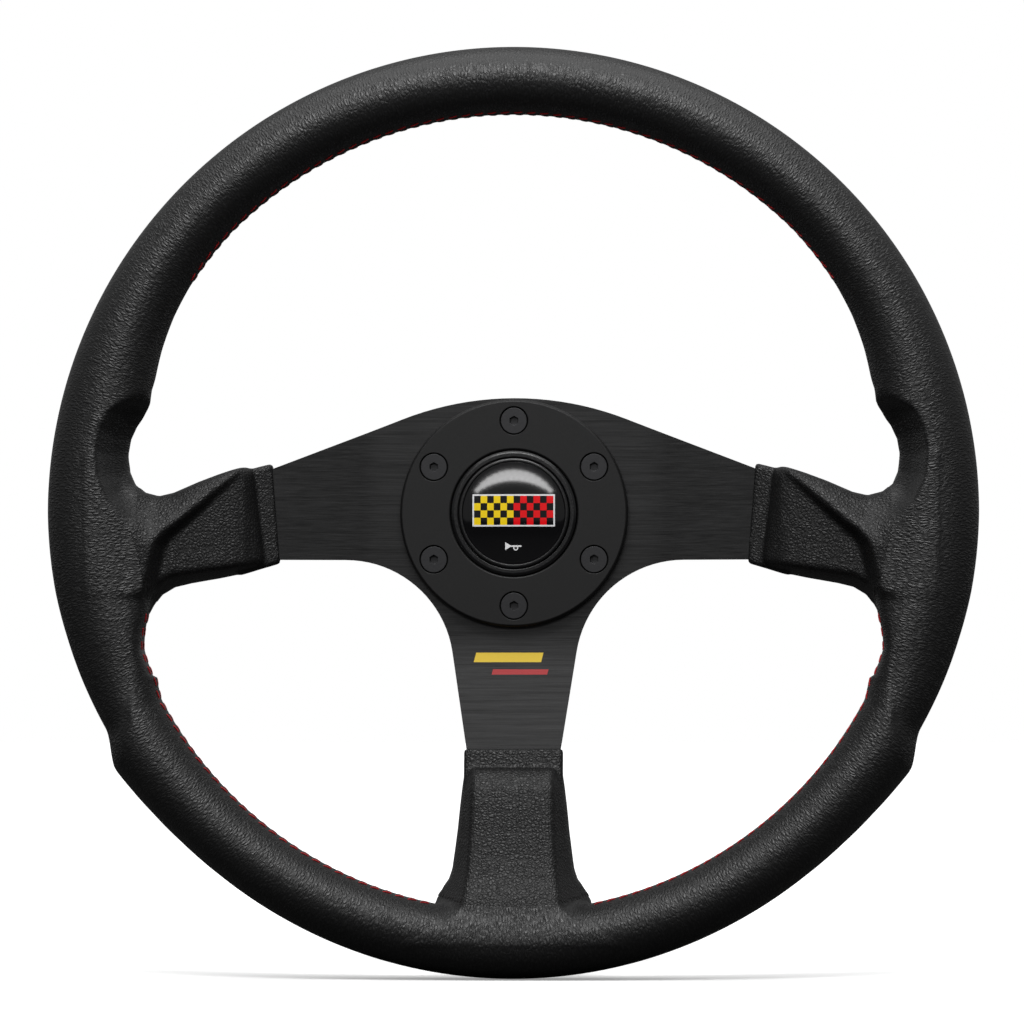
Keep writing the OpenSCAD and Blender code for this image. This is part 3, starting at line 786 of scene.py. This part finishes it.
machined("spider", "spoke_plate", brushedMat, edge=0.35)
machined("trim_ring", "hub_trim_ring", trimMat, edge=0.25)
machined("hub_screws", "hub_cap_screws", screwMat, edge=0.2)
machined("button_housing", "button_housing_shell", buttonMat, edge=0.2)
machined("button_bezel", "button_bezel_ring", capMat, edge=0.25, rounds=3)
machined("horn_cap", "horn_cap_shell", capMat, "horn_button", edge=0.3, rounds=3)
machined("qr_body", "release_hub", gripBlackMat, edge=0.3)
machined("spline_insert", "keyed_insert", steelMat, edge=0.2)
machined("release_collar", "pull_collar", collarMat, "collar", edge=0.35)
machined("retaining_ring", "snap_ring", steelMat, edge=0.12)
machined("contact_block", "contact_carrier", buttonMat, edge=0.25)
machined("block_screws", "carrier_screws", steelMat, edge=0.1)
machined("signal_connector", "signal_push_on", redLeadMat, edge=0.4)
machined("earth_connector", "earth_push_on", blackLeadMat, edge=0.4)
print("machined pieces made")

# for each spring: its joint, the end that stays, and the length left at its limit; here the coils are only copied
# and finished
springs = {
    "collar_spring": ("collar_coil", "collar_slide", -0.036, 12 / 19),
    "contact_spring": ("horn_coil", "horn_press", -0.043, 6.64 / 7.94),
    "pin_springs": ("pin_coils", "pin_slide", -0.031, 4.0 / 5.5),
}
for node, (name, joint, fixedEnd, keep) in springs.items():
    coil = copyOf(node, name)
    bpy.ops.object.shade_smooth_by_angle(angle=math.radians(60))
    dress(coil, springMat, "wheel", [node])
    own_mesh(coil)

# nodes whose own shape is right take their finish
for node, mat in (("rim_hoop", rodMat), ("contact_plate", brassMat), ("signal_terminal", brassMat),
                  ("earth_terminal", brassMat), ("contact_pins", brassMat),
                  ("signal_lead", redLeadMat), ("earth_lead", blackLeadMat)):
    paint(nodes[node], mat)
for k in range(1, 7):
    paint(nodes["lock_ball_%d" % k], ballMat)


def domedBadge():
    # rings of vertices from the middle of the dome out to its rounded edge and down the side
    radius, back, turns, soft = badge["radius"], badge["back"], badge["turns"], badge["round"]
    sphere = (radius ** 2 + badge["rise"] ** 2) / (2 * badge["rise"])
    centre = back + badge["edge"] + badge["rise"] - sphere
    flat = radius - soft
    profile = [(r, centre + math.sqrt(sphere ** 2 - r * r)) for r in np.linspace(0, flat, badge["rings"] + 1)[1:]]
    lip = profile[-1][1]
    profile += [(flat + soft * math.sin(a), lip - soft * (1 - math.cos(a))) for a in np.radians([30, 60, 90])]
    profile.append((radius, back))
    verts = [(0, -(centre + sphere) * mm, 0), (0, -back * mm, 0)]
    for r, z in profile:
        for k in range(turns):
            a = 2 * math.pi * k / turns
            verts.append((r * math.sin(a) * mm, -z * mm, r * math.cos(a) * mm))
    faces = []
    last = 2 + (len(profile) - 1) * turns
    for k in range(turns):
        n = (k + 1) % turns
        faces.append((0, 2 + n, 2 + k))
        faces.append((1, last + k, last + n))
        for ring in range(len(profile) - 1):
            a, b = 2 + ring * turns, 2 + (ring + 1) * turns
            faces.append((a + k, a + n, b + n, b + k))
    piece = meshPiece("domed_badge", verts, faces)
    bpy.ops.object.shade_smooth_by_angle(angle=math.radians(40))
    dress(piece, badgeMat, "horn_button", ["cap_badge"])


domedBadge()
print("springs, contacts and badge made")

stitch = {
    "length": 4.2, "pitch": 4.9, "slant": 1.5, "radius": 0.3, "seam": 149.3,
    "forward": 7.6,                # distance between the two rows
    "sides": 8, "stations": 7, "sink": 0.75,
    # each row's ends, in degrees clockwise from twelve o'clock
    "rows": {"top": (-54.5, 54.5), "left": (191.6, 254.8), "right": (105.2, 168.4)},
}


def seamRadius(angle, z):
    # where the leather's surface is on the inside of the rim, found along the radius
    low, high = np.full(angle.shape, 134.0), np.full(angle.shape, 158.0)
    for _ in range(26):
        mid = (low + high) / 2
        p = np.stack([mid * np.sin(angle), mid * np.cos(angle), z], 1)
        out = leatherField(p) > 0
        low, high = np.where(out, mid, low), np.where(out, high, mid)
    return low


def stitchRow(name, start, end, node):
    seam, sides, stations = stitch["seam"], stitch["sides"], stitch["stations"]
    count = int(round(math.radians(end - start) * seam / stitch["pitch"]))
    points, faces = [], []
    for side in (1, -1):
        for k in range(count):
            centre = math.radians(start) + (k + 0.5) * math.radians(end - start) / count
            t = np.linspace(-0.5, 0.5, stations)
            angle = centre + t * stitch["length"] / seam * side
            z = rim["plane"] + side * (stitch["forward"] / 2 + 0.2) + t * stitch["slant"] * side
            sunk = stitch["sink"] * np.abs(2 * t) ** 4 + 0.02   # the ends dive into the leather
            r = seamRadius(angle, z) - stitch["radius"] * 0.55 + sunk * 0.9
            path = np.stack([r * np.sin(angle), r * np.cos(angle), z], 1)
            base = len(points)
            along = np.gradient(path, axis=0)
            along /= np.linalg.norm(along, axis=1)[:, None]
            up = np.stack([np.sin(angle), np.cos(angle), 0 * angle], 1)
            across = np.cross(along, up)
            across /= np.linalg.norm(across, axis=1)[:, None]
            up = np.cross(across, along)
            width = stitch["radius"] * np.sqrt(np.clip(1 - (2 * np.abs(t) * 0.93) ** 4, 0.05, 1))
            for j in range(stations):
                for q in range(sides):
                    a = 2 * math.pi * q / sides
                    points.append(path[j] + width[j] * (math.cos(a) * across[j] + 0.8 * math.sin(a) * up[j]))
            for j in range(stations - 1):
                for q in range(sides):
                    n = (q + 1) % sides
                    faces.append((base + j * sides + q, base + j * sides + n,
                                  base + (j + 1) * sides + n, base + (j + 1) * sides + q))
            faces.append(tuple(base + q for q in range(sides))[::-1])
            faces.append(tuple(base + (stations - 1) * sides + q for q in range(sides)))
    piece = meshPiece(name, toScene(np.array(points)).tolist(), faces)
    piece.data.shade_smooth()
    bpy.ops.object.mode_set(mode="EDIT")
    bpy.ops.mesh.select_all(action="SELECT")
    bpy.ops.mesh.normals_make_consistent(inside=False)
    bpy.ops.object.mode_set(mode="OBJECT")
    dress(piece, threadMat, replaced=[node])
    print("stitched", name, count)


for place, (start, end) in stitch["rows"].items():
    stitchRow(place + "_stitch_row", start, end, place + "_stitching")

studio = {
    "floorLevel": -0.1752, "floorSize": 18, "centre": (0, -0.0675, 0),
    "distance": 2.3, "azimuth": 2.6, "elevation": -1.6, "viewWidth": 0.3845, "sensor": 36,
    # what the wheel gets back from the floor and the room
    "floorBounce": 0.05, "reflected": 0.265,
    # the floor's own light, from a little by the wheel to full at the second distance
    "glowFrom": 0.12, "glowTo": 0.9, "glow": 0.26,
    "lights": (  # name, place, width, height, watts
        ("overhead softbox", (0, -0.12, 1.15), 1.8, 1.2, 11.5),
        ("key softbox", (0, -0.71, 0.766), 0.6, 0.18, 5.6),
        ("low front strip", (0, -0.89, 0.574), 1.5, 0.16, 1.9),
    ),
}


def makeFloor():
    bpy.ops.mesh.primitive_plane_add(size=studio["floorSize"], location=(0, 0, studio["floorLevel"]))
    floor = bpy.context.object
    floor.name = "pale_floor"
    only(floor)
    bpy.ops.object.transform_apply(location=True, rotation=True, scale=True)
    mat = newMaterial("pale floor", (1, 1, 1), 0.9, spec=0.0)
    s = Shading(mat)
    # the floor is white to look at, and sends little light back up under the wheel
    seen = s.node("ShaderNodeLightPath").outputs["Is Camera Ray"]
    s.feed(s.shader.inputs["Base Color"], s.mix(seen, (*[studio["floorBounce"]] * 3, 1), (1, 1, 1, 1)))
    s.feed(s.shader.inputs["Roughness"], s.spread(s.noise(s.objectCoords, 3), 0.3, 0.7, 0.86, 0.95))
    # it glows more away from the wheel, as on a lit sweep
    away = s.vector("LENGTH", s.vector("MULTIPLY", s.objectCoords, (1, 1, 0)))
    glow = s.spread(away, studio["glowFrom"], studio["glowTo"], studio["glow"], 1.0)
    s.shader.inputs["Emission Color"].default_value = (1, 1, 1, 1)
    s.feed(s.shader.inputs["Emission Strength"], s.math("MULTIPLY", seen, glow))
    floor.data.materials.append(mat)


def areaLight(name, place, aim, width, height, power, roll=0.0):
    lamp = bpy.data.lights.new(name, "AREA")
    lamp.shape = "RECTANGLE"
    lamp.size, lamp.size_y, lamp.energy = width, height, power
    holder = bpy.data.objects.new(name, lamp)
    holder.location = place
    facing = (Vector(aim) - Vector(place)).to_track_quat("-Z", "Y")
    holder.rotation_euler = (facing @ Quaternion((0, 0, 1), roll)).to_euler()
    holder.visible_camera = False
    bpy.context.scene.collection.objects.link(holder)


# a row of small panels in the shape of a new moon, mirrored on the badge's dome
moon = {
    "centre": (0, -0.053, 0), "dome": 0.1344, "step": 0.0024, "panels": 13, "far": 1.6,
    "watts": 36,                   # for each square metre of panel
    "outerCentre": -0.0011, "outerRadius": 0.0187,
    "innerCentre": -0.012, "innerRadius": 0.0249,
    "aside": math.radians(-2.6), "above": math.radians(1.6),
}


def moonPanels():
    centre = Vector(moon["centre"])
    stretch = 2 * moon["far"] / moon["dome"]
    for k in range(moon["panels"]):
        x = moon["step"] * (k - (moon["panels"] - 1) / 2)
        outerRise = math.sqrt(moon["outerRadius"] ** 2 - x * x)
        innerRise = math.sqrt(moon["innerRadius"] ** 2 - x * x)
        outer, inner = moon["outerCentre"] + outerRise, moon["innerCentre"] + innerRise
        roll = math.atan(-x * (1 / outerRise + 1 / innerRise) / 2)
        across = 2 * x / moon["dome"] + moon["aside"]
        rise = (outer + inner) / moon["dome"] + moon["above"]
        wide = stretch * moon["step"] / math.cos(roll)
        high = stretch * (outer - inner) * math.cos(roll)
        place = centre + moon["far"] * Vector((math.sin(across), -math.cos(across), math.tan(rise)))
        areaLight("moon panel %d" % k, place, centre, wide, high, moon["watts"] * wide * high, roll)


def makeRoom():  # the wheel mirrors a dim room, and a white one is seen behind it
    world = bpy.data.worlds.new("studio")
    bpy.context.scene.world = world
    world.use_nodes = True
    tree = world.node_tree
    backdrop = tree.nodes["Background"]
    backdrop.inputs["Strength"].default_value = 1.0
    rays = tree.nodes.new("ShaderNodeLightPath")
    tone = tree.nodes.new("ShaderNodeMix")
    tone.data_type = "RGBA"
    tone.inputs["A"].default_value = (*[studio["reflected"]] * 3, 1)
    tone.inputs["B"].default_value = (1, 1, 1, 1)
    tree.links.new(rays.outputs["Is Camera Ray"], tone.inputs["Factor"])
    tree.links.new(tone.outputs["Result"], backdrop.inputs["Color"])


def makeCamera():
    turn, lift = math.radians(studio["azimuth"]), math.radians(studio["elevation"])
    back = Vector((math.sin(turn) * math.cos(lift), -math.cos(turn) * math.cos(lift), math.sin(lift)))
    lens = bpy.data.cameras.new("camera")
    lens.sensor_width = studio["sensor"]
    lens.lens = studio["sensor"] * studio["distance"] / studio["viewWidth"]
    lens.clip_end = 50
    camera = bpy.data.objects.new("camera", lens)
    camera.location = Vector(studio["centre"]) + back * studio["distance"]
    camera.rotation_euler = (-back).to_track_quat("-Z", "Y").to_euler()
    bpy.context.scene.collection.objects.link(camera)
    bpy.context.scene.camera = camera
    bpy.context.scene.view_settings.view_transform = "Standard"


makeFloor()
for name, place, width, height, watts in studio["lights"]:
    areaLight(name, place, studio["centre"], width, height, watts)
moonPanels()
makeRoom()
makeCamera()
print("floor, lights and camera placed")

print("all pieces made")
